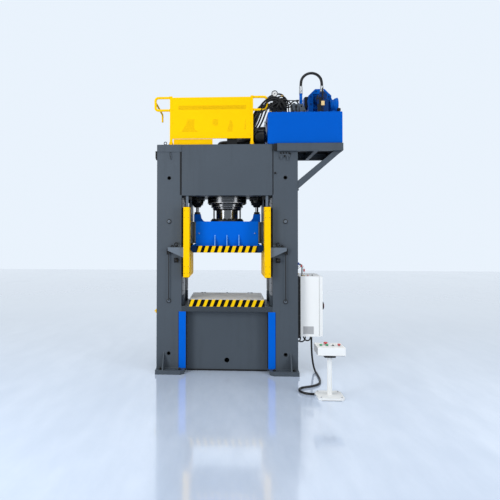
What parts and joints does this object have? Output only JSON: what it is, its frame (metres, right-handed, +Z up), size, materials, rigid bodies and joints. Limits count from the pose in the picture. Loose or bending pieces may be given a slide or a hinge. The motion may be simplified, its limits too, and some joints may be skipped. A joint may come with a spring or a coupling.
{
  "type": "hydraulic press",
  "caption": "Straight-side hydraulic press: welded frame, guided slider over a T-slotted bolster, oil tank and power unit on top, cabinet and wired control stand.",
  "frame": {"origin": "on the floor at the middle of the bed's footprint", "axes": "+X to the right of the press's front, +Y back into the press, +Z up along the ram"},
  "size_m": [3.749, 3.045, 6.0193],
  "materials": {
    "grey_paint": "satin",
    "blue_paint": "satin",
    "yellow_paint": "satin",
    "light_grey_paint": "satin",
    "black_steel": "satin",
    "machined_steel": "ground",
    "zinc_steel": "plated",
    "hard_chrome": "polished",
    "hose_rubber": "matt",
    "black_plastic": "matt",
    "green_plastic": "gloss",
    "red_plastic": "gloss"
  },
  "bodies": {
    "frame": {"left_upright": "grey_paint", "right_upright": "grey_paint", "crown": "grey_paint", "bed": "grey_paint", "bed_corner_covers": "blue_paint", "bolster": "machined_steel", "guide_rails": "machined_steel", "main_cylinder": "black_steel", "gland_ring": "black_steel", "return_cylinders": "black_steel", "light_curtains": "yellow_paint", "curtain_brackets": "grey_paint", "guard_frame": "yellow_paint", "guard_panel": "yellow_paint", "platform": "grey_paint", "platform_braces": "grey_paint", "tank": "blue_paint", "tank_lid": "blue_paint", "tank_side_cover": "zinc_steel", "prefill_valve": "black_steel", "motor": "blue_paint", "motor_fan_cowl": "blue_paint", "motor_terminal_box": "black_steel", "bell_housing": "blue_paint", "pump": "black_steel", "check_valve_block": "grey_paint", "riser_pipe": "blue_paint", "hose_fittings": "zinc_steel", "filter_motor": "blue_paint", "tank_breather": "black_plastic", "manifold": "black_steel", "solenoid_valves": "black_steel", "pressure_gauge": "zinc_steel", "crown_hose_1": "hose_rubber", "crown_hose_2": "hose_rubber", "crown_hose_3": "hose_rubber", "pressure_hose": "hose_rubber", "cabinet": "light_grey_paint", "switchgear_plate": "zinc_steel", "frame_wiring": "hose_rubber", "control_stand": "light_grey_paint", "control_desk": "light_grey_paint", "floor_conduit": "hose_rubber", "lifting_eyebolts": "black_steel"},
    "slide": {"slider": "blue_paint", "slider_plate": "blue_paint", "guide_shoes": "grey_paint", "main_ram": "hard_chrome", "ram_flange": "black_steel", "stroke_rods": "hard_chrome", "return_rods": "hard_chrome"},
    "door": {"cabinet_door": "light_grey_paint"},
    "isolator": {"isolator_handle": "black_plastic"},
    "motor_rotor": {"motor_shaft": "machined_steel"},
    "needle": {"gauge_needle": "black_plastic"},
    "left_start": {"left_start_button": "green_plastic"},
    "right_start": {"right_start_button": "green_plastic"},
    "selector": {"mode_selector": "black_plastic"},
    "stop": {"stop_button": "red_plastic"},
    "emergency": {"emergency_stop": "red_plastic"}
  },
  "joints": [
    {"name": "slider_travel", "type": "slide", "parent": "frame", "child": "slide", "axis": [0, 0, 1], "range_m": [-0.8, 0.06]},
    {"name": "cabinet_door_hinge", "type": "hinge", "parent": "frame", "child": "door", "pos_m": [1.878, 0.348, 1.3], "axis": [0, 0, 1], "range_deg": [0, 120]},
    {"name": "isolator_turn", "type": "hinge", "parent": "door", "child": "isolator", "pos_m": [1.906, -0.34, 1.3], "axis": [1, 0, 0], "range_deg": [0, 90]},
    {"name": "motor_spin", "type": "hinge", "parent": "frame", "child": "motor_rotor", "pos_m": [1.91, 0, 5.5], "axis": [0, -1, 0], "continuous": true},
    {"name": "gauge_needle_turn", "type": "hinge", "parent": "frame", "child": "needle", "pos_m": [0.96, -0.47, 5.575], "axis": [0, 1, 0], "range_deg": [0, 270], "stiffness_Nm_per_rad": 0.002, "springref_deg": -22.92},
    {"name": "left_start_push", "type": "slide", "parent": "frame", "child": "left_start", "axis": [0, 0, 1], "range_m": [-0.006, 0], "stiffness_N_per_m": 800, "springref_m": 0.004},
    {"name": "right_start_push", "type": "slide", "parent": "frame", "child": "right_start", "axis": [0, 0, 1], "range_m": [-0.006, 0], "stiffness_N_per_m": 800, "springref_m": 0.004},
    {"name": "stop_push", "type": "slide", "parent": "frame", "child": "stop", "axis": [0, 0, 1], "range_m": [-0.006, 0], "stiffness_N_per_m": 800, "springref_m": 0.004},
    {"name": "emergency_push", "type": "slide", "parent": "frame", "child": "emergency", "axis": [0, 0, 1], "range_m": [-0.006, 0], "stiffness_N_per_m": 800, "springref_m": 0.004},
    {"name": "mode_turn", "type": "hinge", "parent": "frame", "child": "selector", "pos_m": [1.79, -2.05, 0.865], "axis": [0, 0, 1], "range_deg": [-45, 45]}
  ]
}
